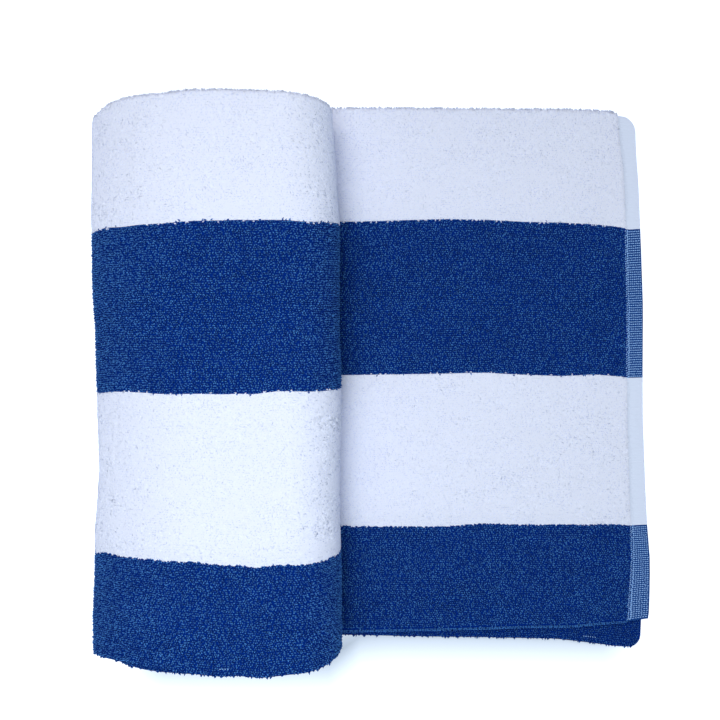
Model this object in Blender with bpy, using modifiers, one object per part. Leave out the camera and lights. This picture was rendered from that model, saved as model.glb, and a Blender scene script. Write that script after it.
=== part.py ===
"""A striped beach towel, folded in half along its length and rolled up from one end.

X runs along the towel's length, Y across it and Z up. The cloth is one sheet. Its two
layers follow a wound path in the XZ plane: flat on the table from the loose end, under
the roll, up its left side, over its crown and round into the core. The layers join in
a soft fold at +Y, and both long edges of the cloth lie at -Y.
"""

import math
from collections import namedtuple

import bpy

NAME = "beach_towel"

# The cloth, in metres.
TOWEL_LENGTH = 1.524
PILE_CLOTH = 0.0038
HEM_CLOTH = 0.0026
HEM_BAND = 0.012
HEM_STEP = 0.0015
CORNER = 0.004

# How the cloth lies.
LAYER_GAP = 0.0005
SPACING = PILE_CLOTH + LAYER_GAP
PITCH = 2 * SPACING
TURNS = 4
END_X = 0.1994
ROLL_HEIGHT = 0.080

# The roll's outline: a broad crown, a tip at its left and a full round at its right.
CROWN_X = -0.1062
CROWN_RADIUS = 0.120
TIP_RADIUS = 0.027
TIGHTEST = 0.0056
ROUND_X = -0.0596

# How far a polygon may stray from its arc, the longest flat step, and the steps round
# the fold.
SAG = 0.00011
LONGEST = 0.030
BENDS = 6

# The half-thickness of the two layers with the gap between them.
HALF = SPACING / 2 + PILE_CLOTH / 2

# Where the cloth's fold and its two long edges run, by distance from the loose end.
Lay = namedtuple("Lay", "distance fold_y lower_y upper_y")
LAYS = (
    Lay(0.000, 0.1877, -0.1937, -0.1715),
    Lay(0.004, 0.1897, -0.1957, -0.1725),
    Lay(0.012, 0.1912, -0.1964, -0.1745),
    Lay(0.034, 0.1949, -0.1938, -0.1780),
    Lay(0.064, 0.1954, -0.1904, -0.1803),
    Lay(0.124, 0.1958, -0.1892, -0.1818),
    Lay(0.219, 0.1964, -0.1876, -0.1838),
    Lay(0.340, 0.1922, -0.1872, -0.1833),
    Lay(0.395, 0.1842, -0.1872, -0.1838),
    Lay(0.410, 0.1817, -0.1866, -0.1843),
    Lay(0.425, 0.1840, -0.1853, -0.1848),
    Lay(0.440, 0.1874, -0.1834, -0.1854),
    Lay(0.465, 0.1882, -0.1817, -0.1860),
    Lay(0.500, 0.1889, -0.1830, -0.1848),
    Lay(0.545, 0.1886, -0.1852, -0.1818),
    Lay(0.605, 0.1860, -0.1780, -0.1778),
    Lay(0.700, 0.1868, -0.1827, -0.1813),
    Lay(1.000, 0.1864, -0.1822, -0.1808),
    Lay(1.524, 0.1847, -0.1810, -0.1793),
)

# Places across each layer, from its long edge to the fold, and how far the loose end
# falls short of END_X there on the lower layer and on the upper one.
Place = namedtuple("Place", "share lower_short upper_short")
PLACES = (
    Place(0.00, 0.0052, 0.0010),
    Place(0.01, 0.0049, 0.0008),
    Place(0.35, 0.0085, 0.0063),
    Place(0.70, 0.0130, 0.0101),
    Place(0.90, 0.0155, 0.0143),
    Place(1.00, 0.0168, 0.0168),
)

# How far along the cloth that slant is spread.
SLANT_REACH = 0.180

# The roll's sides aren't straight: how far the left and the right one lie in +X from
# the even roll, by their place in Y. Between the sides the shift is shared out.
Side = namedtuple("Side", "y left right")
SIDES = (
    Side(-0.190, -0.0016, -0.0013),
    Side(-0.140, 0.0000, -0.0002),
    Side(-0.058, 0.0047, -0.0015),
    Side(0.012, 0.0036, -0.0012),
    Side(0.070, 0.0022, -0.0016),
    Side(0.120, 0.0022, -0.0022),
    Side(0.165, 0.0036, -0.0052),
    Side(0.190, 0.0046, -0.0064),
)
ROLL_LEFT, ROLL_RIGHT = -0.190, -0.020

# The shift begins above the cloth that lies on the table.
SHIFT_FROM, SHIFT_FULL = 0.010, 0.034

TOWELLING_COLOUR = (0.012, 0.055, 0.235, 1.0)


def clear_scene():
    """Remove every object that the scene started with."""
    for item in list(bpy.data.objects):
        bpy.data.objects.remove(item, do_unlink=True)


def make_material(name, colour, roughness):
    """A plain cloth material."""
    material = bpy.data.materials.new(name)
    material.use_nodes = True
    shader = material.node_tree.nodes["Principled BSDF"]
    shader.inputs["Base Color"].default_value = colour
    shader.inputs["Roughness"].default_value = roughness
    shader.inputs["Metallic"].default_value = 0.0
    material.diffuse_color = colour
    return material


def line_stations(start, end, cuts=()):
    """Even steps of at most LONGEST from start to end, with a station at each cut."""
    length = math.dist(start, end)
    way = ((end[0] - start[0]) / length, (end[1] - start[1]) / length)
    marks = [0.0, *cuts, length]
    stations = []
    for near, far in zip(marks, marks[1:]):
        steps = math.ceil((far - near) / LONGEST)
        for step in range(steps):
            along = near + (far - near) * step / steps
            place = (start[0] + way[0] * along, start[1] + way[1] * along)
            stations.append((place, way))
    stations.append((end, way))
    return stations


def arc_stations(centre, radius, start, end):
    """Clockwise stations from the start angle to the end angle, in radians."""
    stray = min(SAG / (radius + HALF), 0.5)
    steps = math.ceil((start - end) / (2 * math.acos(1 - stray)))
    stations = []
    for step in range(steps + 1):
        angle = start + (end - start) * step / steps
        place = (
            centre[0] + radius * math.cos(angle),
            centre[1] + radius * math.sin(angle),
        )
        stations.append((place, (math.sin(angle), -math.cos(angle))))
    return stations


def turn_shape(turn):
    """The sizes of one turn's centre line, counted inwards from the outermost."""
    bottom = HALF + turn * PITCH
    top = ROLL_HEIGHT - HALF - turn * PITCH
    crown = CROWN_RADIUS - HALF - turn * PITCH
    crown_z = top - crown
    tip = max(TIP_RADIUS - HALF - turn * PITCH, TIGHTEST)
    tip_z = bottom + tip
    tip_x = CROWN_X - math.sqrt((crown - tip) ** 2 - (tip_z - crown_z) ** 2)
    meet = math.atan2(tip_z - crown_z, tip_x - CROWN_X)
    side = (top - bottom - PITCH) / 2
    return bottom, top, crown, crown_z, tip, (tip_x, tip_z), meet, side


def wound_path():
    """Stations of the centre line: distance from the loose end, place and direction."""
    stretches = []
    start = END_X
    cuts = (CORNER, HEM_BAND, HEM_BAND + HEM_STEP)
    for turn in range(TURNS):
        bottom, top, crown, crown_z, tip, tip_centre, meet, side = turn_shape(turn)
        quarter = math.pi / 2
        stretches.append(line_stations((start, bottom), (tip_centre[0], bottom), cuts))
        stretches.append(arc_stations(tip_centre, tip, -quarter, meet - 2 * math.pi))
        stretches.append(arc_stations((CROWN_X, crown_z), crown, meet, quarter))
        stretches.append(line_stations((CROWN_X, top), (ROUND_X, top)))
        stretches.append(arc_stations((ROUND_X, top - side), side, quarter, -quarter))
        start = ROUND_X
        cuts = ()
    stations = [(0.0, *stretches[0][0])]
    for stretch in stretches:
        for place, way in stretch[1:]:
            distance, last, _ = stations[-1]
            stations.append((distance + math.dist(last, place), place, way))
    distance, last, _ = stations[-1]
    left = TOWEL_LENGTH - distance
    core = (last[0] - left, last[1])
    cuts = (left - HEM_BAND - HEM_STEP, left - HEM_BAND)
    for place, way in line_stations(last, core, cuts)[1:]:
        stations.append((distance + math.dist(last, place), place, way))
    return stations


def between(rows, value):
    """The table's row at this value of its first column, with the rest worked out."""
    for near, far in zip(rows, rows[1:]):
        if value <= far[0]:
            break
    share = min(max((value - near[0]) / (far[0] - near[0]), 0.0), 1.0)
    return type(near)(*(a + (b - a) * share for a, b in zip(near, far)))


def side_shift(x, y, z):
    """How far a point of the roll is moved in X by the roll's uneven sides."""
    side = between(SIDES, y)
    across = min(max((x - ROLL_LEFT) / (ROLL_RIGHT - ROLL_LEFT), 0.0), 1.0)
    lifted = min(max((z - SHIFT_FROM) / (SHIFT_FULL - SHIFT_FROM), 0.0), 1.0)
    lifted *= lifted * (3.0 - 2.0 * lifted)
    return lifted * (side.left + (side.right - side.left) * across)


def fold_section(distance):
    """Points across the cloth: place in Y, height out of the roll and shortfall."""
    lay = between(LAYS, distance)
    lift = SPACING / 2
    bend_y = lay.fold_y - HALF
    points = []
    for place in PLACES:
        y = lay.lower_y + (bend_y - lay.lower_y) * place.share
        points.append((y, lift, place.lower_short))
    for bend in range(1, BENDS):
        angle = math.pi * bend / BENDS
        y = bend_y + lift * math.sin(angle)
        points.append((y, lift * math.cos(angle), PLACES[-1].lower_short))
    for place in reversed(PLACES):
        y = lay.upper_y + (bend_y - lay.upper_y) * place.share
        points.append((y, -lift, place.upper_short))
    return points


def pile_weight(distance, point, points):
    """1 where the cloth has its pile, 0 on the flat bands at the towel's two ends."""
    from_end = min(distance, TOWEL_LENGTH - distance)
    if from_end < HEM_BAND + HEM_STEP / 2:
        return 0.0
    return 0.45 if point in (0, points - 1) else 1.0


def make_towel(material):
    """The folded and wound sheet, with its real thickness as a live Solidify."""
    stations = wound_path()
    vertices = []
    weights = []
    for distance, place, way in stations:
        section = fold_section(distance)
        outwards = (-way[1], way[0])
        spread = max(0.0, 1.0 - distance / SLANT_REACH)
        for point, (y, lift, short) in enumerate(section):
            x = place[0] + outwards[0] * lift - short * spread
            z = place[1] + outwards[1] * lift
            vertices.append((x + side_shift(x, y, z), y, z))
            weights.append(pile_weight(distance, point, len(section)))
    across = len(section)
    faces = []
    for row in range(len(stations) - 1):
        for column in range(across - 1):
            corner = row * across + column
            faces.append((corner, corner + 1, corner + across + 1, corner + across))
    mesh = bpy.data.meshes.new("towel")
    mesh.from_pydata(vertices, [], faces)
    mesh.materials.append(material)
    mesh.shade_smooth()
    towel = bpy.data.objects.new("towel", mesh)
    pile = towel.vertex_groups.new(name="pile")
    for index, weight in enumerate(weights):
        pile.add([index], weight, "REPLACE")
    cloth = towel.modifiers.new("cloth", "SOLIDIFY")
    cloth.thickness = PILE_CLOTH
    cloth.offset = 0.0
    cloth.use_even_offset = True
    cloth.vertex_group = "pile"
    cloth.thickness_vertex_group = HEM_CLOTH / PILE_CLOTH
    return towel


def main():
    clear_scene()
    collection = bpy.data.collections.new(NAME)
    bpy.context.scene.collection.children.link(collection)
    towelling = make_material("towelling", TOWELLING_COLOUR, 0.95)
    collection.objects.link(make_towel(towelling))


main()
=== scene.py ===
# %% [markdown]
# # A rolled beach towel, loop by loop
#
# The object is one striped terry towel. It is folded in half along its length and rolled
# up from its far end until a flat tail is left, and the roll lies on that tail. Nearly
# all that the eye reads as "towel" is its pile: rows of small yarn loops that stand on a
# woven ground. So this file makes the ground cloth first, as one thin sheet that is laid
# and wound with a function, and then stands real loops on it wherever they can be seen.

import math

import bpy
import numpy as np
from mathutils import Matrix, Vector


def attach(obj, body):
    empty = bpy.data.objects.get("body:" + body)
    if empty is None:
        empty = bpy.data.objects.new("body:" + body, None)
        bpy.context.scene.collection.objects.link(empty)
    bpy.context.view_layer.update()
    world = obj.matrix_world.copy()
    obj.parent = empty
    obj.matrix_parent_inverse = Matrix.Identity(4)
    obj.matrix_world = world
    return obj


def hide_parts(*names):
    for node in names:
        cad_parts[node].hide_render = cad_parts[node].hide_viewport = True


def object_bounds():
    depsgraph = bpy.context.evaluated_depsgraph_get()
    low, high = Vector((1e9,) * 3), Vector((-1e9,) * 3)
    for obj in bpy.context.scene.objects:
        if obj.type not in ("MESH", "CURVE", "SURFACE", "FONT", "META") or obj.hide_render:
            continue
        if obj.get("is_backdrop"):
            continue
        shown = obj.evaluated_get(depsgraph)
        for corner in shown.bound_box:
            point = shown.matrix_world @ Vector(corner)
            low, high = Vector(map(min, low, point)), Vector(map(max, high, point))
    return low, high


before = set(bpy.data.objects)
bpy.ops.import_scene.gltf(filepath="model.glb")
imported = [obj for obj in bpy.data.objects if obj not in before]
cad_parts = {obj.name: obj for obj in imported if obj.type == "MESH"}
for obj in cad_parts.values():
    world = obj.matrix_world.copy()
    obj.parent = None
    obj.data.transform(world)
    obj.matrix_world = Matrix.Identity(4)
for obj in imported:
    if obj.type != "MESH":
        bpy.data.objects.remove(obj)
cad_low, cad_high = (list(corner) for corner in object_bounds())
print("solid towel from", np.round(cad_low, 4), "to", np.round(cad_high, 4))

# %% [markdown]
# ## How the cloth is wound
#
# A towel can be draped by a simulation, but a roll of four tight turns is easier to say
# than to simulate: it is a path. The path is drawn in the XZ plane, from the loose end
# along the table, round the left tip, over a broad crown and down the full right side,
# and each later turn runs inside the last by the thickness of the doubled cloth. These
# are the sizes of the solid, so the cloth lands where the solid is.

# %% Sizes of the cloth and of its roll, in metres
TOWEL_LENGTH, TOWEL_WIDTH = 1.524, 0.762
HEM_BAND = 0.0125
PILE_CLOTH, LAYER_GAP = 0.0038, 0.0005
SPACING = PILE_CLOTH + LAYER_GAP
PITCH = 2 * SPACING                   # two layers are wound up together
HALF = SPACING / 2 + PILE_CLOTH / 2   # half of the doubled cloth
TURNS = 4
END_X = 0.1994                        # where the loose end lies
ROLL_HEIGHT = 0.080
CROWN_X, CROWN_RADIUS = -0.1062, 0.120
TIP_RADIUS, TIGHTEST = 0.027, 0.0056
ROUND_X = -0.0596
STATION_STEP, OVERRUN = 0.006, 0.02   # of the path, which runs on past both ends

# %% The path of the doubled cloth
def line(start, end, step=STATION_STEP):
    """Even stations on a straight stretch."""
    count = max(1, math.ceil(math.dist(start, end) / step))
    return [
        (start[0] + (end[0] - start[0]) * i / count, start[1] + (end[1] - start[1]) * i / count)
        for i in range(count + 1)
    ]


def arc(centre, radius, start, end, stray=0.00003):
    """Stations on a clockwise arc, close enough to stray little from it."""
    count = math.ceil((start - end) / (2 * math.acos(1 - stray / (radius + HALF))))
    angles = [start + (end - start) * i / count for i in range(count + 1)]
    return [
        (centre[0] + radius * math.cos(a), centre[1] + radius * math.sin(a)) for a in angles
    ]


def wound_path():
    """Stations of the centre line between the cloth's two layers."""
    places, start, quarter = [], END_X, math.pi / 2
    for turn in range(TURNS):
        bottom, top = HALF + turn * PITCH, ROLL_HEIGHT - HALF - turn * PITCH
        crown = CROWN_RADIUS - HALF - turn * PITCH
        crown_z = top - crown
        tip = max(TIP_RADIUS - HALF - turn * PITCH, TIGHTEST)
        rise = bottom + tip - crown_z
        tip_x = CROWN_X - math.sqrt((crown - tip) ** 2 - rise**2)
        meet = math.atan2(rise, tip_x - CROWN_X)
        side = (top - bottom - PITCH) / 2
        places += line((start, bottom), (tip_x, bottom))
        places += arc((tip_x, bottom + tip), tip, -quarter, meet - 2 * math.pi)
        places += arc((CROWN_X, crown_z), crown, meet, quarter)
        places += line((CROWN_X, top), (ROUND_X, top))
        places += arc((ROUND_X, top - side), side, quarter, -quarter)
        start = ROUND_X
    return places


def path_table(places):
    """Distance, place and outward direction at each station, as one array. The path is
    carried on straight past the loose end and into the core."""
    places = np.array(places)
    keep = np.r_[True, np.hypot(*np.diff(places, axis=0).T) > 1e-7]
    places = places[keep]
    distance = np.r_[0, np.cumsum(np.hypot(*np.diff(places, axis=0).T))]
    left = TOWEL_LENGTH - distance[-1]
    for _ in np.arange(STATION_STEP, left + OVERRUN, STATION_STEP):
        places = np.vstack([places, places[-1] - (STATION_STEP, 0)])
    places = np.vstack([places[0] + (OVERRUN, 0), places])
    added = np.arange(1, len(places) - len(distance))
    distance = np.r_[-OVERRUN, distance, distance[-1] + STATION_STEP * added]
    way = np.gradient(places, distance, axis=0)
    way /= np.hypot(*way.T)[:, None]
    return np.column_stack([distance, places, -way[:, 1], way[:, 0]])


PATH = path_table(wound_path())
print(len(PATH), "stations from", PATH[0, 0], "to", round(PATH[-1, 0], 4), "m along the cloth")

# %% [markdown]
# ## How the cloth lies across
#
# Across its width the cloth runs from its lower long edge to a soft fold and back to its
# upper edge. The two edges don't quite meet: the lower layer peeps out under the tail,
# and on the roll's crown the inner layer shows past the outer one. A table says where
# the fold and both edges run, and the cloth between them follows.

# %% Where the fold and the two long edges run, by distance from the loose end
LOWER = 0.3765                 # the lower layer's width, up to the fold
BEND = math.pi * SPACING / 2   # the cloth's way round the fold
UPPER = TOWEL_WIDTH - LOWER - BEND
FOLD_V = LOWER + BEND / 2
LAYS = np.array([
    # distance, fold_y, lower_y, upper_y
    (-0.020, 0.1902, -0.1953, -0.1712),
    (0.000, 0.1906, -0.1951, -0.1724),
    (0.0115, 0.1910, -0.1950, -0.1743),
    (0.0140, 0.1929, -0.1948, -0.1757),
    (0.020, 0.1942, -0.1943, -0.1761),
    (0.034, 0.1949, -0.1924, -0.1770),
    (0.054, 0.1953, -0.1901, -0.1790),
    (0.064, 0.1954, -0.1890, -0.1793),
    (0.086, 0.1955, -0.1886, -0.1794),
    (0.124, 0.1958, -0.1878, -0.1808),
    (0.160, 0.1961, -0.1874, -0.1816),
    (0.219, 0.1964, -0.1862, -0.1828),
    (0.340, 0.1922, -0.1858, -0.1823),
    (0.395, 0.1842, -0.1858, -0.1828),
    (0.410, 0.1817, -0.1852, -0.1833),
    (0.425, 0.1840, -0.1839, -0.1838),
    (0.432, 0.1863, -0.1830, -0.1840),
    (0.440, 0.1874, -0.1820, -0.1844),
    (0.450, 0.1881, -0.1808, -0.1848),
    (0.465, 0.1882, -0.1803, -0.1850),
    (0.484, 0.1878, -0.1803, -0.1842),
    (0.500, 0.1889, -0.1816, -0.1838),
    (0.519, 0.1891, -0.1833, -0.1828),
    (0.531, 0.1890, -0.1828, -0.1818),
    (0.545, 0.1886, -0.1843, -0.1808),
    (0.563, 0.1880, -0.1820, -0.1798),
    (0.575, 0.1872, -0.1819, -0.1788),
    (0.590, 0.1864, -0.1808, -0.1778),
    (0.605, 0.1860, -0.1790, -0.1775),
    (0.640, 0.1864, -0.1783, -0.1783),
    (0.700, 0.1868, -0.1813, -0.1803),
    (1.000, 0.1864, -0.1808, -0.1798),
    (1.300, 0.1858, -0.1803, -0.1791),
    (1.560, 0.1847, -0.1796, -0.1783),
])

# %% How far each stripe border strays from its even place, in millimetres
STRIPES = (0.0757, 0.1854, 0.2984, 0.4594, 0.5708, 0.6801)
STRAY = np.array([
    # distance, borders 1 to 3 on the lower layer, borders 4 to 6 on the upper layer
    (0.000, 0, 0, 0, -4.5, -5.0, -8.5),
    (0.012, 0, 0, 0, -5.0, -4.5, -7.5),
    (0.020, 0, 0, 0, -5.0, -4.0, -6.0),
    (0.040, 0, 0, 0, -3.5, -2.5, -5.0),
    (0.060, 0, 0, 0, -2.5, -3.0, -4.0),
    (0.090, 0, 0, 0, -2.0, -2.0, -4.0),
    (0.120, 0, 0, 0, -0.5, 0.0, -2.0),
    (0.150, 0, 0, 0, 0.0, -0.5, -4.0),
    (0.215, 0, 0, 0, -2.0, -1.0, -2.5),
    (0.300, 0, 0, 0, 0, 0, 0),
    (0.400, -4.0, 2.5, 1.5, 0, 0, 0),
    (0.430, -1.5, 0.5, -1.0, 0, 0, 0),
    (0.450, -3.0, -0.5, -3.5, 0, 0, 0),
    (0.484, -2.0, -1.0, -2.5, 0, 0, 0),
    (0.504, -0.5, 0.0, -2.0, 0, 0, 0),
    (0.537, -2.5, 0.5, -1.0, 0, 0, 0),
    (0.552, -1.5, 2.5, -0.5, 0, 0, 0),
    (0.570, -2.5, 2.0, -1.0, 0, 0, 0),
    (0.590, -3.0, 1.5, 0.5, 0, 0, 0),
    (0.605, -4.5, 1.0, 1.5, 0, 0, 0),
    (0.700, 0, 0, 0, 0, 0, 0),
])


def stray(u, v):
    """How far a point lies from even spacing: all of it on a border, less between."""
    knots = (0, *STRIPES[:3], LOWER, LOWER + BEND, *STRIPES[3:], TOWEL_WIDTH)
    total = 0
    for border, knot in enumerate((1, 2, 3, 6, 7, 8), start=1):
        tent = np.interp(v, knots[knot - 1 : knot + 2], (0, 1, 0))
        total = total + tent * np.interp(u, STRAY[:, 0], STRAY[:, border])
    return total / 1000


# %% The wave of the cloth
def smooth(value, low, high):
    """0 below low, 1 above high and an even S between them."""
    t = np.clip((value - low) / (high - low), 0, 1)
    return t * t * (3 - 2 * t)


WAVES = np.random.default_rng(7).uniform(size=(14, 4))
SHORTEST, SPREAD = 0.022, 0.07   # the shortest wave, and how much longer they get
FULL_TURN, CALM = 6.283, 4.5     # CALM brings their sum down to about 1


def relief(u, v):
    """The cloth's gentle unevenness, from -1 to 1 or so, the same for every piece."""
    total = 0
    for way, length, start, weight in WAVES:
        turn = 2 * math.pi / (SHORTEST + SPREAD * length)
        heading = way * math.pi
        total = total + (0.5 + weight) * np.sin(
            turn * (u * math.cos(heading) + v * math.sin(heading)) + start * FULL_TURN
        )
    return total / CALM


# %% From a point of the flat cloth to its place on the roll
CORNER, FOLD_CORNER = 0.008, 0.010   # radii of the loose end's two round corners
# Across the upper layer, from its edge (0) to the fold (1): how far the end falls short,
# and how much wider than the rest the band is drawn. Then the lower layer's shortfall.
END_SHORT = (
    (0.00, 0.0125, 0.087, 0.14, 0.21, 0.27, 0.356,
     0.42, 0.50, 0.644, 0.764, 0.881, 0.952, 1.0),
    (0.0013, 0.0008, 0.0005, 0.0009, 0.0031, 0.0047, 0.0064,
     0.0077, 0.0084, 0.0090, 0.0112, 0.0137, 0.0162, 0.0168),
)
BAND_DRAWN = (
    (0.00, 0.04, 0.194, 0.506, 0.73, 0.805, 0.914, 0.954, 0.983, 1.0),
    (0.0021, 0.0021, -0.0008, -0.0011, -0.0010, -0.0017, -0.0017, -0.0004, 0.0005, 0.0006),
)
LOWER_SHORT = ((0, 0.06, 1), (0.0054, 0.0048, 0.0168))
SHORT_REACH, DRAWN_REACH = 0.18, 0.06   # how far along the cloth each of them is felt
# The waves: their height, how far from an edge they fade and where the hem lies still.
WAVE_HEIGHT, WAVE_FADE, STILL = 0.00035, 0.03, 0.005


def cloth_point(u, v, h):
    """u is the distance from the loose end, v that from the lower long edge, and h the
    height over the middle of the cloth, towards the outside of the fold."""
    u, v, h = np.broadcast_arrays(*(np.asarray(x, float) for x in (u, v, h)))
    fold_y, lower_y, upper_y = (np.interp(u, LAYS[:, 0], LAYS[:, i]) for i in (1, 2, 3))
    bend_y = fold_y - HALF
    low, high = v / LOWER, (TOWEL_WIDTH - v) / UPPER
    turned = np.clip((v - LOWER) / BEND, 0, 1) * math.pi
    y = np.where(
        v < LOWER,
        lower_y + (bend_y - lower_y) * low,
        np.where(v > LOWER + BEND, upper_y + (bend_y - upper_y) * high, bend_y),
    )
    y = y + stray(u, v)
    # The loose end is cut a little askew, and its band is drawn in unevenly.
    upper = v > LOWER + BEND / 2
    short = np.where(upper, np.interp(high, *END_SHORT), np.interp(low, *LOWER_SHORT))
    drawn = np.where(upper, np.interp(high, *BAND_DRAWN), 0)
    drawn = drawn * np.clip(u / HEM_BAND, 0, 1) * (1 - smooth(u, HEM_BAND, DRAWN_REACH))
    # The lower layer's corner is round, and so is the end where it meets the fold.
    a, b = np.clip(CORNER - u, 0, None), np.clip(CORNER - v, 0, None)
    reach = np.maximum(a, b) / np.maximum(np.hypot(a, b), 1e-9)
    inside = (a > 0) & (b > 0)
    y = y + np.where(inside, b - b * reach, 0)
    from_fold = (bend_y - y + (SPACING / 2) * (1 - np.sin(turned))) / FOLD_CORNER
    rounded = FOLD_CORNER * (1 - np.sqrt(1 - (1 - np.clip(from_fold, 0, 1)) ** 2))
    x_in = np.where(inside, a - a * reach, 0) + rounded * np.clip(1 - u / HEM_BAND, 0, None)
    # How far the two layers lie out of the path.
    wave = WAVE_HEIGHT * relief(u, v) * smooth(np.minimum(v, TOWEL_WIDTH - v), 0, WAVE_FADE)
    wave = wave * (1 - np.sin(turned)) * smooth(np.abs(u - STILL), 0, WAVE_FADE)
    radius = SPACING / 2 + h + wave
    out = radius * np.cos(turned)
    y = y + radius * np.sin(turned)
    column = [np.interp(u, PATH[:, 0], PATH[:, i]) for i in (1, 2, 3, 4)]
    norm = np.hypot(column[2], column[3])
    x = column[0] + out * column[2] / norm
    z = column[1] + out * column[3] / norm
    x = x - short * np.clip(1 - u / SHORT_REACH, 0, None) - drawn - x_in
    return settle(np.stack([x, y, z], axis=-1))


ROLL_LEFT, ROLL_RIGHT = -0.190, -0.020
ROLL_LIFT = (0.010, 0.034)   # the heights between which that unevenness sets in
SKIN = 0.0003                # lower than this, the cloth is pressed flat on the table
# The roll's two sides, from the edges' end to the fold's end: each place in y, and how
# far the cloth there lies to the right of the even roll.
LEFT_SIDE = (
    (-0.180, -0.160, -0.140, -0.099, -0.086, -0.071, -0.058, -0.030, 0.012,
     0.040, 0.067, 0.120, 0.147, 0.174, 0.190),
    (-0.0016, -0.0011, 0.0, 0.0011, 0.0026, 0.0037, 0.0047, 0.0046, 0.0036,
     0.0034, 0.0022, 0.0022, 0.0032, 0.0038, 0.0050),
)
RIGHT_SIDE = (
    (-0.180, -0.166, -0.145, -0.124, -0.103, -0.063, -0.042, -0.021, 0.011,
     0.032, 0.060, 0.106, 0.125, 0.139, 0.152, 0.165, 0.180),
    (-0.0004, 0.0, 0.0, -0.0003, -0.0012, -0.0017, -0.0010, -0.0002, -0.0009,
     -0.0018, -0.0017, -0.0014, -0.0024, -0.0035, -0.0043, -0.0054, -0.0062),
)


def settle(p):
    """The roll's own unevenness, a waist at its left side and a slack right end, and the
    table, which flattens whatever would dip into it."""
    x, y, z = p[..., 0], p[..., 1], p[..., 2]
    across = np.clip((x - ROLL_LEFT) / (ROLL_RIGHT - ROLL_LEFT), 0, 1)
    left, right = np.interp(y, *LEFT_SIDE), np.interp(y, *RIGHT_SIDE)
    moved = p.copy()
    moved[..., 0] += smooth(z, *ROLL_LIFT) * (left + (right - left) * across)
    moved[..., 2] = np.where(z < SKIN, SKIN * np.exp(np.minimum(z / SKIN - 1, 0)), z)
    return moved


corner = cloth_point(0.0, TOWEL_WIDTH, 0.0)
print("the hem's corner lies at", np.round(corner, 4))

# %% [markdown]
# ## Where pile stands
#
# A towel has loops on both faces, and a million of them would not be seen inside the
# roll. Loops are stood on the outside of the roll, on top of the tail, on the fold and
# within a few millimetres of every edge. Elsewhere the ground is as thick as the pile,
# so that the layers still fill the roll when it is seen from its ends. The hem band at
# the towel's end has no loops: there the bare weave shows.

# %% Maps of the cloth: where loops stand and how thick the ground is
# Each pair is the start and the end of a short slope.
EDGE_PILE, END_PILE = (0.0075, 0.0105), (0.008, 0.011)   # from the long edges, the ends
FOLD_PILE = (0.0095, 0.0125)                             # from the fold's middle line
TAIL_STOPS, STRIP_STOPS = (0.268, 0.274), (0.030, 0.034)
ROLL_STARTS, ROLL_STOPS = (0.345, 0.350), (0.668, 0.674)
PAST_FOLD = (0.009, 0.012)   # how far the tail's and the roll's loops run past the fold


def pile_cover(u, v, face):
    """1 well inside the ground that carries loops, 0 outside it. face is 1 for the
    outside of the fold and -1 for its inside."""
    cover = 1 - smooth(np.minimum(v, TOWEL_WIDTH - v), *EDGE_PILE)
    near_tail = 1 - smooth(u, *TAIL_STOPS)
    if face > 0:
        tail = smooth(v, FOLD_V - PAST_FOLD[1], FOLD_V - PAST_FOLD[0]) * near_tail
        roll = 1 - smooth(v, FOLD_V + PAST_FOLD[0], FOLD_V + PAST_FOLD[1])
        roll = roll * smooth(u, *ROLL_STARTS) * (1 - smooth(u, *ROLL_STOPS))
        fold = 1 - smooth(np.abs(v - FOLD_V), *FOLD_PILE)
        return np.maximum.reduce([cover, tail, roll, fold])
    strip = (1 - smooth(v, *STRIP_STOPS)) * near_tail
    ends = 1 - smooth(np.minimum(u, TOWEL_LENGTH - u), *END_PILE)
    return np.maximum.reduce([cover, strip, ends])


WAYS = (1, -1, 1, -1, 1, -1)   # into white or out of it at each border
SLOPE = 0.0016


def whiteness(v):
    """1 in the white stripes, 0 in the blue ones, with a short slope at each border."""
    return sum(
        way * smooth(v, place - SLOPE / 2, place + SLOPE / 2)
        for place, way in zip(STRIPES, WAYS)
    )


# Half of the ground's thickness where it is bare and on the flat hem band, how much less
# it is under loops, how much of that white pile fills, and how much less at the edges.
BARE_HALF, HEM_HALF = 0.00185, 0.00100
UNDER_LOOPS, WHITE_FILL, EDGE_THIN = 0.00100, 0.00075, 0.00025
FAN_OUT, THIN_EDGE = (0.0010, 0.0045), (0.0, 0.0022)
HEM_STEP = (HEM_BAND - 0.0004, HEM_BAND + 0.0006)


def ground_height(u, v, face):
    """Half of the ground's thickness on one face. White pile stands closer, so less of
    each loop is free there, but for the fold, where the loops fan out."""
    close = whiteness(v) * smooth(np.abs(v - FOLD_V), *FAN_OUT)
    height = BARE_HALF - (UNDER_LOOPS - WHITE_FILL * close) * pile_cover(u, v, face)
    height = height - EDGE_THIN * (1 - smooth(np.minimum(v, TOWEL_WIDTH - v), *THIN_EDGE))
    if face > 0:
        flat = 1 - smooth(np.minimum(u, TOWEL_LENGTH - u), *HEM_STEP)
        height = height + (HEM_HALF - height) * flat
    return height


# %% [markdown]
# ## Materials
#
# The stripes are woven, so they follow the cloth and not the room. Each point of each piece
# carries its place on the flat cloth in an attribute called "weave", and a shared node group turns
# that place into a stripe. A loop is dyed yarn and has one colour all over, so all its points
# carry the place of its foot: the border between two stripes is then ragged by whole loops, as it
# is on a real towel. Over that, each loop is drawn darker or brighter towards its foot, as painted
# light and shade. Light that reaches the foot of a loop has passed other loops first. In blue yarn
# that leaves a deep violet, which is drawn at the foot as painted shade. In white yarn nearly
# nothing is lost, and the light is passed from loop to loop, so its foot is drawn brighter than
# its top as painted light and the gaps between white loops stay pale. The ground under the blue
# pile is drawn darker as painted shade too.

# %% Small helpers for nodes
def add_node(tree, kind, place, **inputs):
    """A node of one kind with its inputs set by name."""
    node = tree.nodes.new(kind)
    node.location = place
    for name, value in inputs.items():
        node.inputs[name.replace("_", " ")].default_value = value
    return node


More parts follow.
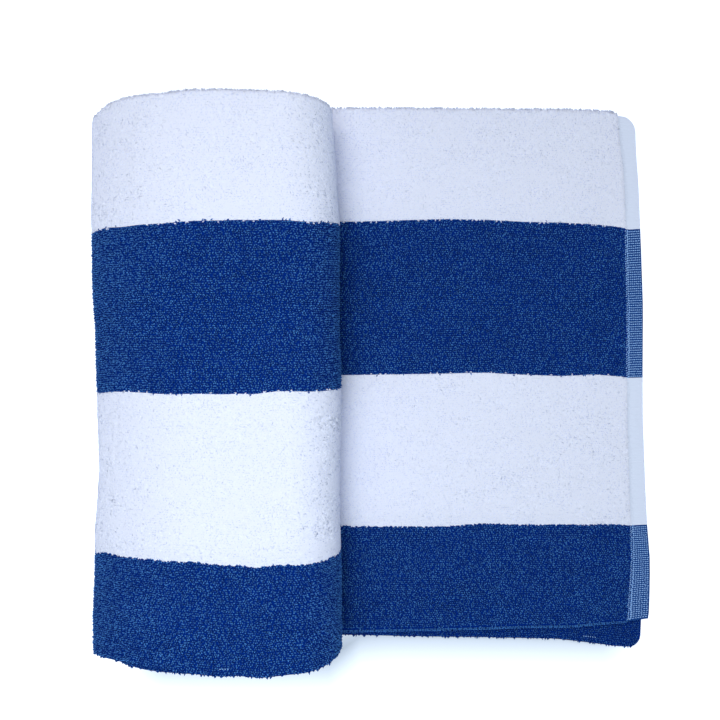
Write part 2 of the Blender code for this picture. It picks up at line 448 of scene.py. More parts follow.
def math_node(tree, operation, place, value):
    """A Math node with its second value set."""
    node = add_node(tree, "ShaderNodeMath", place)
    node.operation = operation
    node.inputs[1].default_value = value
    return node


# %% The stripe group
def stripe_group():
    """Two yarns in wide stripes, from a place on the flat cloth: the borders that lie
    below the place are counted, and an even count is blue."""
    group = bpy.data.node_groups.new("wide stripes", "ShaderNodeTree")
    sockets = group.interface
    sockets.new_socket("Weave", in_out="INPUT", socket_type="NodeSocketVector")
    sockets.new_socket("Blue yarn", in_out="INPUT", socket_type="NodeSocketColor")
    sockets.new_socket("White yarn", in_out="INPUT", socket_type="NodeSocketColor")
    sockets.new_socket("Colour", in_out="OUTPUT", socket_type="NodeSocketColor")
    sockets.new_socket("White", in_out="OUTPUT", socket_type="NodeSocketFloat")
    give = group.nodes.new("NodeGroupInput")
    take = group.nodes.new("NodeGroupOutput")
    give.location, take.location = (-200, 0), (1000, 0)
    split = add_node(group, "ShaderNodeSeparateXYZ", (0, 0))
    wire = group.links.new
    wire(give.outputs["Weave"], split.inputs[0])
    count = None
    for step, place in enumerate(STRIPES):
        past = math_node(group, "GREATER_THAN", (200, -150 * step), place)
        wire(split.outputs["Y"], past.inputs[0])
        if count is not None:
            total = math_node(group, "ADD", (400, -150 * step), 0)
            wire(count.outputs[0], total.inputs[0])
            wire(past.outputs[0], total.inputs[1])
            past = total
        count = past
    white = math_node(group, "PINGPONG", (600, 0), 1)
    mix = add_node(group, "ShaderNodeMix", (800, 0))
    mix.data_type = "RGBA"
    wire(count.outputs[0], white.inputs[0])
    wire(white.outputs[0], mix.inputs[0])
    wire(give.outputs["Blue yarn"], mix.inputs[6])
    wire(give.outputs["White yarn"], mix.inputs[7])
    wire(mix.outputs[2], take.inputs["Colour"])
    wire(white.outputs[0], take.inputs["White"])
    return group


stripes = stripe_group()
print("stripe borders at", STRIPES, "m across the cloth")

# %% Yarn of the loops
# Blue and white yarn on top of a loop and at its foot, where the blue is drawn darker as painted
# shade and the white brighter as painted light; in the ground, whose blue is drawn darker under
# the pile as painted shade, and in the bare band; and then the hem thread's darker and lighter
# tone.
TOP = (0.0880, 0.3050, 0.7300), (0.580, 0.624, 0.875)
PAINTED_FOOT = (0.0002, 0.0110, 0.1750), (0.825, 0.858, 0.995)
UNDER_PILE_SHADE = (0.0008, 0.0220, 0.2000), (0.790, 0.810, 0.950)
BARE = (0.0115, 0.0590, 0.2450), (0.750, 0.805, 0.970)
THREAD = (0.19, 0.39, 0.82), (0.42, 0.66, 1.00)


def new_material(name, roughness, shine=0.1):
    """A material, its node tree and its shader."""
    material = bpy.data.materials.new(name)
    material.use_nodes = True
    shader = material.node_tree.nodes["Principled BSDF"]
    shader.inputs["Roughness"].default_value = roughness
    shader.inputs["Specular IOR Level"].default_value = shine
    return material, material.node_tree, shader


def striped(tree, weave, place, blue, white):
    """The stripe group on a weave attribute, with its two yarns."""
    node = tree.nodes.new("ShaderNodeGroup")
    node.node_tree = stripes
    node.location = place
    node.inputs["Blue yarn"].default_value = (*blue, 1)
    node.inputs["White yarn"].default_value = (*white, 1)
    tree.links.new(weave.outputs["Vector"], node.inputs["Weave"])
    return node


def attribute(tree, name, place):
    """A mesh attribute's node."""
    node = add_node(tree, "ShaderNodeAttribute", place)
    node.attribute_name = name
    return node


def loop_material():
    """Terry yarn: two colours by height, mixed a little differently in each loop. Towards its foot
    a loop is drawn with painted shade in the blue and painted light in the white.
    """
    material, tree, shader = new_material("terry loops", 0.9, 0.0)
    wire = tree.links.new
    weave = attribute(tree, "weave", (-1100, 0))
    rise = attribute(tree, "rise", (-1100, 300))
    place = add_node(tree, "ShaderNodeTexCoord", (-1100, -500))
    split = add_node(tree, "ShaderNodeSeparateXYZ", (-900, -250))
    top = striped(tree, weave, (-900, 200), *TOP)
    foot = striped(tree, weave, (-900, 0), *PAINTED_FOOT)
    # How far up its loop a point lies blends the painted foot colour into the top colour: painted
    # shade at the foot of blue loops, painted light at the foot of white ones.
    height = add_node(tree, "ShaderNodeMapRange", (-900, 400), From_Min=0.2, From_Max=1.0)
    least = add_node(tree, "ShaderNodeMapRange", (-700, -100), To_Min=0.24, To_Max=0.0)
    tone = add_node(tree, "ShaderNodeMapRange", (-500, -200))
    cloudy = add_node(tree, "ShaderNodeTexNoise", (-900, -500), Scale=60.0, Detail=3.0)
    thin = add_node(tree, "ShaderNodeMapRange", (-900, -700), To_Min=0.90, To_Max=0.70)
    full = add_node(tree, "ShaderNodeMapRange", (-900, -900), To_Min=1.10, To_Max=1.30)
    patch = add_node(tree, "ShaderNodeMapRange", (-700, -500), From_Min=0.3, From_Max=0.7)
    share = math_node(tree, "MULTIPLY", (-400, 300), 1)
    drift = math_node(tree, "MULTIPLY", (-250, 300), 1)
    yarn_and_painted_light = add_node(tree, "ShaderNodeMix", (-100, 100))
    yarn_and_painted_light.data_type = "RGBA"
    wire(weave.outputs["Vector"], split.inputs[0])
    wire(rise.outputs["Fac"], height.inputs["Value"])
    wire(top.outputs["White"], least.inputs["Value"])
    wire(split.outputs["Z"], tone.inputs["Value"])
    wire(least.outputs[0], tone.inputs["To Min"])
    wire(place.outputs["Object"], cloudy.inputs["Vector"])
    wire(top.outputs["White"], thin.inputs["Value"])
    wire(top.outputs["White"], full.inputs["Value"])
    wire(thin.outputs[0], patch.inputs["To Min"])
    wire(full.outputs[0], patch.inputs["To Max"])
    wire(cloudy.outputs[0], patch.inputs["Value"])
    wire(height.outputs[0], share.inputs[0])
    wire(tone.outputs[0], share.inputs[1])
    wire(share.outputs[0], drift.inputs[0])
    wire(patch.outputs[0], drift.inputs[1])
    wire(drift.outputs[0], yarn_and_painted_light.inputs[0])
    wire(foot.outputs["Colour"], yarn_and_painted_light.inputs[6])
    wire(top.outputs["Colour"], yarn_and_painted_light.inputs[7])
    wire(yarn_and_painted_light.outputs[2], shader.inputs["Base Color"])
    twist = add_node(tree, "ShaderNodeTexNoise", (-500, -750), Scale=1900.0, Detail=1.0)
    bump = add_node(tree, "ShaderNodeBump", (-200, -750), Strength=0.3, Distance=0.0003)
    wire(place.outputs["Object"], twist.inputs["Vector"])
    wire(twist.outputs[0], bump.inputs["Height"])
    wire(bump.outputs[0], shader.inputs["Normal"])
    return material


yarn = loop_material()

# %% Ground weave, where no loops stand
FLOAT_PITCH = 0.00178   # from one dot of the hem band to the next, across the cloth


def ground_material():
    """The woven ground: striped, with a ribbed band at the towel's ends. Away from the band its
    blue is drawn darker than the band's, as painted shade under the pile and along the rim, while
    its white is about the band's. The relief is shallower in the white stripes."""
    material, tree, shader = new_material("woven ground", 0.95, 0.0)
    wire = tree.links.new
    weave = attribute(tree, "weave", (-1100, 0))
    split = add_node(tree, "ShaderNodeSeparateXYZ", (-900, -200))
    under_pile_shade = striped(tree, weave, (-900, 200), *UNDER_PILE_SHADE)
    bare = striped(tree, weave, (-900, 0), *BARE)
    from_end = math_node(tree, "PINGPONG", (-700, -200), TOWEL_LENGTH / 2)
    near_end = math_node(tree, "LESS_THAN", (-550, -200), HEM_BAND)
    banded = math_node(tree, "MULTIPLY", (-400, -200), 1)
    colour = add_node(tree, "ShaderNodeMix", (-300, 100))
    colour.data_type = "RGBA"
    place = add_node(tree, "ShaderNodeTexCoord", (-900, -500))
    crumbs = add_node(tree, "ShaderNodeTexVoronoi", (-700, -500), Scale=560.0)
    across = math_node(tree, "MULTIPLY", (-700, -350), 2 * math.pi / FLOAT_PITCH)
    rib = math_node(tree, "SINE", (-550, -350), 0)
    relief_mix = add_node(tree, "ShaderNodeMix", (-350, -400))
    bump = add_node(tree, "ShaderNodeBump", (-150, -400), Strength=0.6, Distance=0.0004)
    bump.invert = True
    depth = add_node(tree, "ShaderNodeMapRange", (-350, -600), To_Min=1.0, To_Max=0.17)
    deep = math_node(tree, "MULTIPLY", (-250, -500), 1)
    wire(bare.outputs["White"], depth.inputs["Value"])
    wire(depth.outputs[0], deep.inputs[1])
    wire(weave.outputs["Vector"], split.inputs[0])
    wire(split.outputs["X"], from_end.inputs[0])
    wire(from_end.outputs[0], near_end.inputs[0])
    wire(near_end.outputs[0], banded.inputs[0])
    wire(split.outputs["Z"], banded.inputs[1])
    wire(banded.outputs[0], colour.inputs[0])
    wire(under_pile_shade.outputs["Colour"], colour.inputs[6])
    wire(bare.outputs["Colour"], colour.inputs[7])
    wire(colour.outputs[2], shader.inputs["Base Color"])
    wire(place.outputs["Object"], crumbs.inputs["Vector"])
    wire(split.outputs["Y"], across.inputs[0])
    wire(across.outputs[0], rib.inputs[0])
    wire(banded.outputs[0], relief_mix.inputs[0])
    wire(crumbs.outputs["Distance"], relief_mix.inputs[2])
    wire(rib.outputs[0], relief_mix.inputs[3])
    wire(relief_mix.outputs[0], deep.inputs[0])
    wire(deep.outputs[0], bump.inputs["Height"])
    wire(bump.outputs[0], shader.inputs["Normal"])
    return material


ground_cloth = ground_material()

# %% Thread of the hem
def thread_material():
    """Plain pale thread with a fine twist."""
    material, tree, shader = new_material("hem thread", 0.7, 0.3)
    place = add_node(tree, "ShaderNodeTexCoord", (-900, 0))
    twist = add_node(tree, "ShaderNodeTexNoise", (-700, 0), Scale=2400.0)
    tint = add_node(tree, "ShaderNodeValToRGB", (-500, 0))
    for element, tone in zip(tint.color_ramp.elements, THREAD):
        element.color = (*tone, 1)
    bump = add_node(tree, "ShaderNodeBump", (-200, -300), Strength=0.4, Distance=0.0002)
    wire = tree.links.new
    wire(place.outputs["Object"], twist.inputs["Vector"])
    wire(twist.outputs[0], tint.inputs[0])
    wire(tint.outputs[0], shader.inputs["Base Color"])
    wire(twist.outputs[0], bump.inputs["Height"])
    wire(bump.outputs[0], shader.inputs["Normal"])
    return material


thread = thread_material()

# %% [markdown]
# ## The ground cloth
#
# One closed sheet: a grid of points on its outer face, the same grid on its inner face,
# and a rounded rim all the way round that joins them. A plane with a Solidify modifier
# would be quicker to make, but the cloth is thinner under its pile and on the hem band,
# so each face is worked out by itself. The grid is close where the cloth turns and wide
# where it lies flat.

# %% A mesh from arrays
def mesh_piece(name, points, faces, weave, bake, material, rise=None, normals=None):
    """A smooth mesh object with its attributes and a map for baking."""
    mesh = bpy.data.meshes.new(name)
    count, corners = faces.shape
    mesh.vertices.add(len(points))
    mesh.vertices.foreach_set("co", points.astype(np.float32).ravel())
    mesh.loops.add(count * corners)
    mesh.loops.foreach_set("vertex_index", faces.astype(np.int32).ravel())
    mesh.polygons.add(count)
    mesh.polygons.foreach_set("loop_start", np.arange(0, count * corners, corners, dtype=np.int32))
    mesh.update(calc_edges=True)
    mesh.shade_smooth()
    held = mesh.attributes.new("weave", "FLOAT_VECTOR", "POINT")
    held.data.foreach_set("vector", weave.astype(np.float32).ravel())
    if rise is not None:
        held = mesh.attributes.new("rise", "FLOAT", "POINT")
        held.data.foreach_set("value", rise.astype(np.float32).ravel())
    layer = mesh.uv_layers.new(name="OFBake")
    layer.data.foreach_set("uv", bake.astype(np.float32).ravel())
    mesh.materials.append(material)
    mesh.validate()
    if normals is not None:
        mesh.normals_split_custom_set_from_vertices(normals)
    piece = bpy.data.objects.new(name, mesh)
    bpy.context.scene.collection.objects.link(piece)
    return piece


# %% Grid lines of the ground
NEAR_ENDS, CLOSEST = 0.02, 0.0003   # the listed lines lie nearer to the ends than this
WIDEST = 0.0135                     # about the widest gap between lines across the cloth


def grid_lines():
    """Distances along the cloth and across it, where the grid has its lines."""
    # Lines stand close at the two ends, round the hem band's step.
    near = [0, 0.0008, 0.003, 0.006, 0.009, HEM_STEP[0], HEM_BAND + 0.0001, HEM_STEP[1], 0.016]
    along = [*near, *(x for x in PATH[:, 0] if NEAR_ENDS < x < TOWEL_LENGTH - NEAR_ENDS)]
    along = np.array(along + [TOWEL_LENGTH - x for x in reversed(near)])
    along = along[np.r_[True, np.diff(along) > CLOSEST]]
    rim = np.array([0, 0.0007, 0.0022, 0.005, 0.0078, 0.0104])
    beside = np.array([0.0052, 0.0075, 0.0095, 0.0115])
    bend = FOLD_V + np.r_[-beside[::-1], np.linspace(-0.5, 0.5, 11) * BEND, beside]
    # The ground steps at each stripe's border, so lines lie on both sides of every step.
    steps = [x for place in STRIPES for x in (place - SLOPE / 2, place + SLOPE / 2)]
    knots = [rim[-1], *steps[:6], bend[0], bend[-1], *steps[6:], TOWEL_WIDTH - rim[-1]]
    between = [
        x for low, high in zip(knots, knots[1:]) if (low, high) != (bend[0], bend[-1])
        for x in np.linspace(low, high, max(2, round((high - low) / WIDEST) + 1))
    ]
    return along, np.unique(np.round(np.r_[rim, between, bend, TOWEL_WIDTH - rim], 7))


along, across = grid_lines()
print(len(along), "by", len(across), "grid lines")

# %% The ground sheet
RIM_PUSH = 0.0006     # how far the rim's middle line stands out of the edges
MAP_MARGIN = 0.001    # room for it in the baking map


def make_ground():
    """The thin sheet that carries the pile, closed with a rounded rim."""
    nu, nv = len(along), len(across)
    u, v = np.meshgrid(along, across, indexing="ij")
    outer = cloth_point(u, v, ground_height(u, v, 1)).reshape(-1, 3)
    inner = cloth_point(u, v, -ground_height(u, v, -1)).reshape(-1, 3)
    index = np.arange(nu * nv).reshape(nu, nv)
    ring = np.r_[index[:-1, 0], index[-1, :-1], index[:0:-1, -1], index[0, :0:-1]]
    ru, rv = u.ravel()[ring], v.ravel()[ring]
    pu = ru + RIM_PUSH * (np.isclose(ru, TOWEL_LENGTH).astype(float) - np.isclose(ru, 0))
    pv = rv + RIM_PUSH * (np.isclose(rv, TOWEL_WIDTH).astype(float) - np.isclose(rv, 0))
    rim = cloth_point(pu, pv, np.zeros(len(pu)))
    points = np.vstack([outer, inner, rim])
    quads = [index[:-1, :-1], index[:-1, 1:], index[1:, 1:], index[1:, :-1]]
    quads = np.stack(quads, -1).reshape(-1, 4)
    n, m = nu * nv, len(ring)
    here, ahead = np.arange(m), np.roll(np.arange(m), -1)
    up = np.stack([ring, ring[ahead], 2 * n + ahead, 2 * n + here], -1)
    down = np.stack([2 * n + here, 2 * n + ahead, n + ring[ahead], n + ring], -1)
    faces = np.vstack([quads[:, ::-1], quads + n, up, down])
    place = np.column_stack([np.r_[u.ravel(), u.ravel(), pu], np.r_[v.ravel(), v.ravel(), pv]])
    weave = np.column_stack([place, np.r_[np.ones(n), np.zeros(n), np.ones(m)]])
    side = np.r_[np.zeros(len(quads)), np.ones(len(quads)), np.zeros(m), np.ones(m)]
    spot = place[faces]
    # The baking map holds the outer face in its lower half and the inner one above it.
    bake = (spot + MAP_MARGIN) / (TOWEL_LENGTH + 2 * MAP_MARGIN, TOWEL_WIDTH + 2 * MAP_MARGIN)
    bake = bake * (0.98, 0.49) + (0.01, 0.005)
    bake[..., 1] += 0.5 * side[:, None]
    return mesh_piece("ground", points, faces, weave, bake.reshape(-1, 2), ground_cloth)


ground = make_ground()
print("ground:", len(ground.data.polygons) * 2, "triangles")

# %% [markdown]
# ## The pile
#
# Terry can be drawn with a bump, but then its outline is smooth, and hair makes straight fibres,
# not loops. So one loop is modelled: a small four-sided point whose two ends are lifted off the
# cloth, like a seed that stands on its keel. Smooth shading makes a soft bead of it. Real loops
# stand in rows that run along the towel, about 1.5 mm apart, and fall about at random within their
# row, so the copies are laid in such rows, each turned, stretched and leant a little by chance.
# Along the two long edges a sparse fringe of loops also leans out of the cloth.

# %% Model one loop
END_LIFT = 0.44   # of the bead's height

bpy.ops.object.select_all(action="DESELECT")
bpy.ops.mesh.primitive_cone_add(vertices=4, radius1=0.5, radius2=0, depth=1, location=(0, 0, 0.5))
bead = bpy.context.object
bpy.ops.object.transform_apply(location=True)
bpy.ops.object.mode_set(mode="EDIT")
bpy.ops.mesh.select_mode(type="VERT")
bpy.ops.mesh.select_all(action="DESELECT")
bpy.ops.object.mode_set(mode="OBJECT")
for point in bead.data.vertices:
    point.select = abs(point.co.x) > 0.4   # the base's two corners that lie in X
bpy.ops.object.mode_set(mode="EDIT")
bpy.ops.transform.translate(value=(0, 0, END_LIFT))
bpy.ops.mesh.select_all(action="SELECT")
bpy.ops.mesh.quads_convert_to_tris(quad_method="FIXED")
bpy.ops.object.mode_set(mode="OBJECT")
bead_points = np.array([p.co for p in bead.data.vertices])
bead_faces = np.array([f.vertices for f in bead.data.polygons])
bead_under = np.array([f.normal.z < 0 for f in bead.data.polygons])
bpy.data.objects.remove(bead)
print("one loop has", len(bead_faces), "triangles")

# %% Lay copies of the bead on the cloth
chance = np.random.default_rng(21)
WHITE_SOFT = 0.7   # how far the normals of white loops lean to the way the loop stands
RAGGED = 0.0010    # how far from a stripe's border its loops may have either colour


def unit(arrows):
    """The same arrows, each of length one."""
    return arrows / np.maximum(np.linalg.norm(arrows, axis=-1, keepdims=True), 1e-12)


def lay_beads(name, origin, long, wide, tall, material, tones=(0, 1), even=0):
    """One piece of joined beads. A bead's origin and its three axes are given in the cloth's own
    u, v and h, as columns. Its own tone is drawn from the range tones, which some pieces narrow to
    paint shade or a highlight, and even is the share by which its shading is evened out."""
    n, k = len(origin), len(bead_points)
    axes = [np.column_stack(np.broadcast_arrays(*axis)) for axis in (long, wide, tall)]
    axes = np.stack([np.broadcast_to(axis, (n, 3)) for axis in axes], 1)
    spots = origin[:, None] + np.einsum("kc,ncd->nkd", bead_points, axes)
    points = cloth_point(spots[..., 0], spots[..., 1], spots[..., 2])
    faces = bead_faces + k * np.arange(n)[:, None, None]
    # Each bead has a cell of the baking map: its upper faces low in it, the others above.
    spot = bead_points[bead_faces][..., :2]
    under, over = spot * (0.8, 0.22) + (0.5, 0.83), spot * (0.8, 0.56) + (0.5, 0.33)
    spot = np.where(bead_under[:, None, None], under, over)
    cells = math.ceil(math.sqrt(n))
    cell = np.column_stack([np.arange(n) % cells, np.arange(n) // cells])
    bake = (cell[:, None, None] + spot) / cells
    turned = np.linalg.det(axes) < 0
    faces[turned] = faces[turned][:, :, ::-1]
    bake[turned] = bake[turned][:, :, ::-1]
    # Light passes through white yarn and evens out its shading, so the normals of white
    # loops, and of any others by the share "even", lean towards the way the loop stands.
    a, b, c = (points[:, bead_faces[:, i]] for i in range(3))
    flat = np.cross(b - a, c - a) * np.where(turned, -1, 1)[:, None, None]
    normals = np.stack([flat[:, (bead_faces == i).any(axis=1)].sum(axis=1) for i in range(k)], 1)
    stands = points[:, 4:] - points[:, :4].mean(axis=1, keepdims=True)
    soft = np.maximum(WHITE_SOFT * whiteness(origin[:, 1]), even)[:, None, None]
    normals = (1 - soft) * unit(normals) + soft * unit(stands)
    # A loop near a stripe's border has either colour, so the border is ragged.
    dyed = origin[:, 1] + chance.uniform(-RAGGED, RAGGED, n)
    weave = np.repeat(np.column_stack([origin[:, 0], dyed, chance.uniform(*tones, n)]), k, axis=0)
    rise = np.tile(bead_points[:, 2], n)
    return mesh_piece(
        name, points.reshape(-1, 3), faces.reshape(-1, 3), weave, bake.reshape(-1, 2),
        material, rise, unit(normals).reshape(-1, 3),
    )


# %% Where the loops stand
ROW, STEP = 0.00153, 0.00162             # between rows, and between loops in a row
FIRST_ROW, FIRST_STEP = 0.0009, 0.0008
ALONG_ROW, OFF_ROW = 0.34, 0.22          # how far a loop strays, in steps and in rows
END_ROOM, HEM_ROOM = 0.0006, 0.0004      # loops keep off the ends and off the hem band
TAIL_REACH, BARE_EDGE = 0.30, 0.0024     # the selvedge's own loops stand here instead


def loop_feet(face):
    """Feet of the loops on one face of the whole cloth, thinned to where they show."""
    rows = np.arange(FIRST_ROW, TOWEL_WIDTH, ROW)
    steps = np.arange(FIRST_STEP, TOWEL_LENGTH, STEP)
    v, u = np.meshgrid(rows, steps, indexing="ij")
    u = u + STEP / 2 * (np.arange(len(rows)) % 2)[:, None]
    u = u + chance.uniform(-ALONG_ROW, ALONG_ROW, u.shape) * STEP
    v = v + chance.uniform(-OFF_ROW, OFF_ROW, u.shape) * ROW
    u, v = u.ravel(), v.ravel()
    keep = (u > END_ROOM) & (u < TOWEL_LENGTH - END_ROOM) & (pile_cover(u, v, face) > 0.5)
    if face > 0:
        keep &= np.minimum(u, TOWEL_LENGTH - u) > HEM_BAND + HEM_ROOM
        keep &= (v < TOWEL_WIDTH - BARE_EDGE) | (u > TAIL_REACH)
    return u[keep], v[keep]


feet = {face: loop_feet(face) for face in (1, -1)}
print("loops outside and inside the fold:", [len(u) for u, v in feet.values()])

# %% Stand the loops
PILE_TOP, BLUE_TALLER, UNEVEN = 0.00190, 0.00010, 0.00008
SUNK = 0.00032                       # a loop's foot is this deep in the ground
FANNED, FAN_HEIGHT = 0.0024, 0.0007  # loops round the fold reach out further


def stand_loops(name, u, v, face, tones=(0, 1)):
    """One piece of joined loops with their feet at u, v on one face of the cloth."""
    n = len(u)
    turned = chance.normal(0, 1.1, n)
    long, wide = chance.uniform(0.0019, 0.0026, n), chance.uniform(0.0014, 0.0018, n)
    blue = 1 - whiteness(v)
    top = PILE_TOP + BLUE_TALLER * blue + chance.normal(0, UNEVEN, n) * (1 + 2 * blue)
    top = np.clip(top, 0.0014, 0.0027)
    top = top + chance.uniform(0, FAN_HEIGHT, n) * (np.abs(v - FOLD_V) < FANNED)
    foot = ground_height(u, v, face) - SUNK
    cos, sin = np.cos(turned), np.sin(turned)
    lean = chance.normal(0, 0.00025, (2, n))
    return lay_beads(
        name, np.column_stack([u, v, face * foot]), (cos * long, sin * long, 0),
        (-sin * wide, cos * wide, 0), (*lean, face * (top - foot)), yarn, tones,
    )


u, v = feet[1]
# Each piece stays under 200,000 triangles, so tail and roll are cut in two at these v.
TAIL_CUT, ROLL_CUT = 0.57, 0.19
ROLL_FROM, ROLL_TO = 0.34, 0.68
tail = (u < TAIL_REACH) & (v > FOLD_V - FOLD_PILE[1])
roll = (u > ROLL_FROM) & (u < ROLL_TO) & (v < FOLD_V + FOLD_PILE[1])
groups = {
    "pile_tail_low": tail & (v > TAIL_CUT),
    "pile_tail_high": tail & (v <= TAIL_CUT),
    "pile_roll_low": roll & (v < ROLL_CUT),
    "pile_roll_high": roll & (v >= ROLL_CUT),
    "pile_edges": ~tail & ~roll,
}
pile = [stand_loops(name, u[keep], v[keep], 1) for name, keep in groups.items()]
# The loops inside the fold take only the lower tones, so more of each is drawn in its foot's
# colour: painted shade in the blue, for the strip of the lower layer that lies in the upper
# layer's shadow, and a little more of the foot's painted light in the white.
pile.append(stand_loops("pile_inside", *feet[-1], -1, tones=(0, 0.55)))

# %% The fringe along the two long edges
FRINGE_STEP, CLEAN = 0.00110, (0.434, 0.498)
INSET = 0.0004   # from the long edge to the fringe's feet


def fringe():
    """Loops that lean out of the cloth: out of the first long edge but for a clean
    stretch on the roll, and out of the second one beyond the tail."""
    u = np.arange(0.004, TOWEL_LENGTH, FRINGE_STEP)
    u = np.r_[u, u] + chance.uniform(-0.0005, 0.0005, 2 * len(u))
    half = len(u) // 2
    side = np.r_[-np.ones(half), np.ones(len(u) - half)]
    clean = (side < 0) & (u > CLEAN[0]) & (u < CLEAN[1])
    keep = ((side < 0) | (u > TAIL_REACH)) & ~clean
    u, side = u[keep], side[keep]
    n = len(u)
    edge = np.where(side < 0, INSET, TOWEL_WIDTH - INSET)
    turned = chance.uniform(0, math.pi, n)
    long, wide = chance.uniform(0.0017, 0.0026, n), chance.uniform(0.0011, 0.0015, n)
    height = chance.uniform(-0.0011, 0.0011, n)
    # About a fifth of them reach a millimetre further.
    reach = chance.uniform(0.0006, 0.0017, n) + 0.0010 * (chance.uniform(size=n) < 0.22)
    cos, sin = np.cos(turned), np.sin(turned)
    return lay_beads(
        "pile_fringe", np.column_stack([u, edge, height]), (cos * long, 0, sin * long),
        (-sin * wide, 0, cos * wide), (chance.normal(0, 0.0005, n), side * reach, 0), yarn,
    )


# %% The selvedge of the tail
def selvedge():
    """Longer, straighter loops that lie close along the tail's upper long edge. They take the
    upper tones, which draw them lighter: a painted highlight along the ridge that they make.
    """
    rows = TOWEL_WIDTH - np.array([0.0004, 0.0014])
    places = np.arange(HEM_BAND + 0.0012, TAIL_REACH, 0.0019)
    u, v = (x.ravel() for x in np.meshgrid(places, rows, indexing="ij"))
    n = len(u)
    u = u + chance.uniform(-0.0005, 0.0005, n)
    turned = chance.normal(0, 0.16, n)
    long, wide = chance.uniform(0.0030, 0.0042, n), chance.uniform(0.0012, 0.0016, n)
    cos, sin = np.cos(turned), np.sin(turned)
    # The tones 0.55 to 0.9 draw these blue loops lighter, as a painted highlight.
    return lay_beads(
        "pile_selvedge", np.column_stack([u, v, np.full(n, 0.0003)]),
        (cos * long, sin * long, 0), (-sin * wide, cos * wide, 0),
        (0, 0, chance.uniform(0.0019, 0.0022, n)), yarn, (0.55, 0.9),
    )


pile += [fringe(), selvedge()]
for piece in pile:
    print(piece.name, len(piece.data.polygons), "triangles")

# %% [markdown]
# ## The hem band
#
# The last 12 mm of the towel are woven flat. White threads float over the blue warp
# there in a fine grid of dots, and a line of stitches closes the band's inner side. A
# pattern in the material would look painted from the side, so both are flat copies of
# the same bead, laid only where they show, on the blue stripes of the outer face. Two
# short runs of the same thread are tacked into the cloth elsewhere.

# %% Floats and stitches
FLOAT_STEP, STITCH_PITCH = 0.00162, 0.00087
STITCHES_IN, ZIGZAG = 0.0012, 0.0015   # from the band's inner side, and across the run
THREAD_EVEN = 0.4                      # how far the thread's shading is evened out
# Height of the feet over the middle of the cloth, then rise, length and width.
FLOAT_FOOT, FLOAT_RISE = 0.0009, 0.00042
STITCH_FOOT, STITCH_RISE, STITCH_LONG, STITCH_WIDE = 0.0010, 0.0009, 0.0018, 0.0010
TACK_FOOT, TACK_RISE, TACK_LONG, TACK_WIDE = 0.0016, 0.0009, 0.0012, 0.0007


def blue_rows(pitch):
    """Rows across the cloth that lie in blue stripes."""
    rows = np.arange(pitch, TOWEL_WIDTH - 0.001, pitch)
    return rows[np.searchsorted(STRIPES, rows) % 2 == 0]


def make_floats():
    """White dots over the blue parts of the band."""
    columns = np.arange(0.0011, HEM_BAND - STITCHES_IN, FLOAT_STEP)
    v, u = np.meshgrid(blue_rows(FLOAT_PITCH), columns, indexing="ij")
    u, v = (u + 0.0002 * (np.arange(len(u)) % 2)[:, None]).ravel(), v.ravel()
    n = len(u)
    u = u + chance.normal(0, 0.00008, n)
    origin = np.column_stack([u, v + chance.normal(0, 0.00006, n), np.full(n, FLOAT_FOOT)])
    long, wide = chance.uniform(0.0015, 0.0017, n), chance.uniform(0.0012, 0.0014, n)
    return lay_beads(
        "hem_floats", origin, (long, 0, 0), (0, wide, 0), (0, 0, FLOAT_RISE), thread,
        even=THREAD_EVEN,
    )


def make_stitches():
    """A zigzag of thread that closes the band's inner side."""
    v = blue_rows(STITCH_PITCH)
    n = len(v)
    u = HEM_BAND - STITCHES_IN + ZIGZAG * (np.arange(n) % 2) + chance.normal(0, 0.00020, n)
    origin = np.column_stack([u, v, np.full(n, STITCH_FOOT)])
    lean = np.where(np.arange(n) % 2, 0.6, -0.6) + chance.normal(0, 0.2, n)
    cos, sin = np.cos(lean), np.sin(lean)
    return lay_beads(
        "hem_stitches", origin, (sin * STITCH_LONG, cos * STITCH_LONG, 0),
        (-cos * STITCH_WIDE, sin * STITCH_WIDE, 0), (0, 0, STITCH_RISE), thread,
        even=THREAD_EVEN,
    )


def make_tacks():
    """Two short runs of pale thread: one on the lower layer's face, one by the roll's
    lower edge."""
    u = np.r_[np.linspace(0.0343, 0.0428, 6), np.linspace(0.5190, 0.5240, 4)]
    v = np.r_[np.full(6, 0.0044), np.full(4, 0.0052)]
    face = np.r_[np.full(6, -1), np.full(4, 1)]
    origin = np.column_stack([u, v, face * TACK_FOOT])
    return lay_beads(
        "hem_tacks", origin, (TACK_LONG, 0, 0), (0, TACK_WIDE, 0),
        (0, 0, face * TACK_RISE), thread, even=THREAD_EVEN,
    )


hem = [make_floats(), make_stitches(), make_tacks()]
for piece in hem:
    print(piece.name, len(piece.data.polygons), "triangles")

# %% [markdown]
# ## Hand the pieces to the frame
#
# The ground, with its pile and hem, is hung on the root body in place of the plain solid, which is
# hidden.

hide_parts("towel")
for piece in (ground, *pile, *hem):
    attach(piece, "root")

# %% [markdown]
# ## Table, light and camera
#
# A pale table and soft light from above and a little to the left, as in a catalogue picture taken
# from straight above. The table glows with painted light, so that the towel stands clear on white;
# in front of the towel the glow fades, and only a faint cool shadow shows there, partly real and
# partly painted shade.

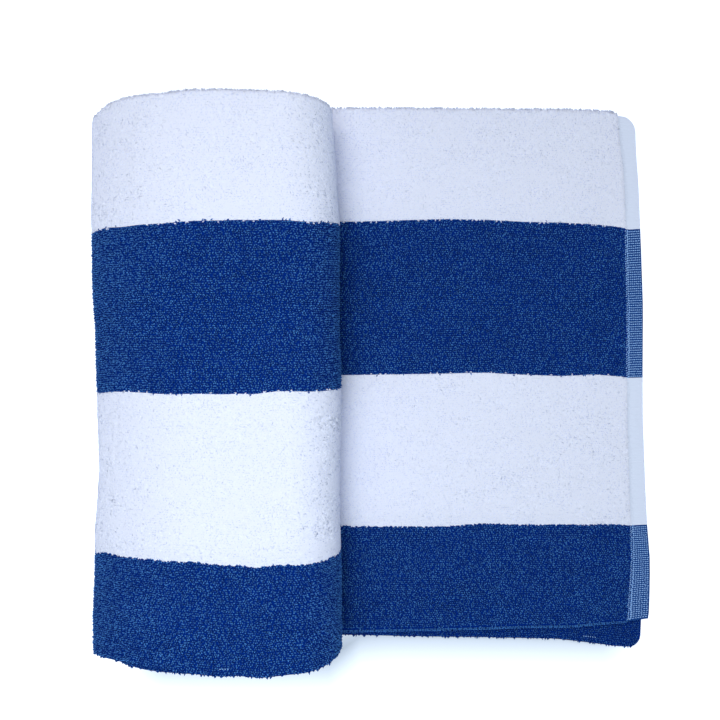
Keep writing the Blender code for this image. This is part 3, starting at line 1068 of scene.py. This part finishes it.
# %% The table
# The table's glow is painted light. It grows with the distance from a line along the towel's near
# edge, which lies further back beside the roll, so that a faint shadow stays in front of it; that
# shadow is partly real and partly painted shade where the glow fades. The glow is tinted blue,
# which makes the shadow cool.
bpy.ops.object.select_all(action="DESELECT")
bpy.ops.mesh.primitive_plane_add(size=8, location=(0, 0, 0))
table = bpy.context.object
table.name = "table_top"
plain, tree, shader = new_material("pale table", 0.8)
shader.inputs["Base Color"].default_value = (0.71, 0.78, 0.89, 1)
place = add_node(tree, "ShaderNodeTexCoord", (-1300, 0))
split = add_node(tree, "ShaderNodeSeparateXYZ", (-1100, 0))
along_edge = add_node(tree, "ShaderNodeClamp", (-900, 0), Min=-0.155, Max=0.165)
near_edge = add_node(
    tree, "ShaderNodeMapRange", (-900, -200),
    From_Min=-0.035, From_Max=-0.012, To_Min=-0.205, To_Max=-0.189,
)
nearest = add_node(tree, "ShaderNodeCombineXYZ", (-700, 0))
away = add_node(tree, "ShaderNodeVectorMath", (-500, 100))
away.operation = "DISTANCE"
painted_glow = add_node(tree, "ShaderNodeMapRange", (-300, 0), From_Max=0.034, To_Min=0.04, To_Max=0.85)
tint = add_node(tree, "ShaderNodeHueSaturation", (-150, 0), Color=(0.87, 0.92, 1.0, 1))
wire = tree.links.new
wire(place.outputs["Object"], split.inputs[0])
wire(split.outputs["X"], along_edge.inputs["Value"])
wire(along_edge.outputs[0], nearest.inputs["X"])
wire(split.outputs["X"], near_edge.inputs["Value"])
wire(near_edge.outputs[0], nearest.inputs["Y"])
wire(place.outputs["Object"], away.inputs[0])
wire(nearest.outputs[0], away.inputs[1])
wire(away.outputs["Value"], painted_glow.inputs["Value"])
wire(painted_glow.outputs[0], tint.inputs["Value"])
wire(tint.outputs[0], shader.inputs["Emission Color"])
shader.inputs["Emission Strength"].default_value = 1.0
table.data.materials.append(plain)
table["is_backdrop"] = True

# %% Light
world = bpy.data.worlds.new("studio")
bpy.context.scene.world = world
world.use_nodes = True
sky = world.node_tree.nodes["Background"]
sky.inputs["Color"].default_value = (0.74, 0.87, 1.0, 1)
sky.inputs["Strength"].default_value = 0.34


def area_light(name, place, aim, size, power, colour):
    """A square lamp at a place, turned to its aim."""
    lamp = bpy.data.lights.new(name, "AREA")
    lamp.size, lamp.energy, lamp.color = size, power, colour
    item = bpy.data.objects.new(name, lamp)
    way = np.array(aim) - np.array(place)
    tilt = math.atan2(math.hypot(way[0], way[1]), -way[2])
    item.location = place
    item.rotation_euler = (tilt, 0, math.atan2(way[1], way[0]) - math.pi / 2)
    bpy.context.scene.collection.objects.link(item)


area_light("key", (-0.29, 0.59, 1.20), (0, 0, 0.03), 0.8, 6.2, (0.965, 0.905, 0.870))
area_light("softbox", (-0.07, -0.11, 0.64), (-0.06, -0.10, 0), 0.3, 2.1, (0.92, 1.0, 1.0))
bpy.context.scene.view_settings.view_transform = "Standard"

# %% Camera
camera = bpy.data.cameras.new("camera")
camera.lens, camera.sensor_width = 40.2, 36
eye = bpy.data.objects.new("camera", camera)
eye.location = (-0.0120, 0.0451, 0.584)
eye.rotation_euler = (math.radians(-2.85), 0, 0)
bpy.context.scene.collection.objects.link(eye)
bpy.context.scene.camera = eye

# %% Compare the boxes and finish
low, high = (list(corner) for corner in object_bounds())
grown = np.round([np.subtract(cad_low, low), np.subtract(high, cad_high)], 4)
print("visual grows by", *grown)
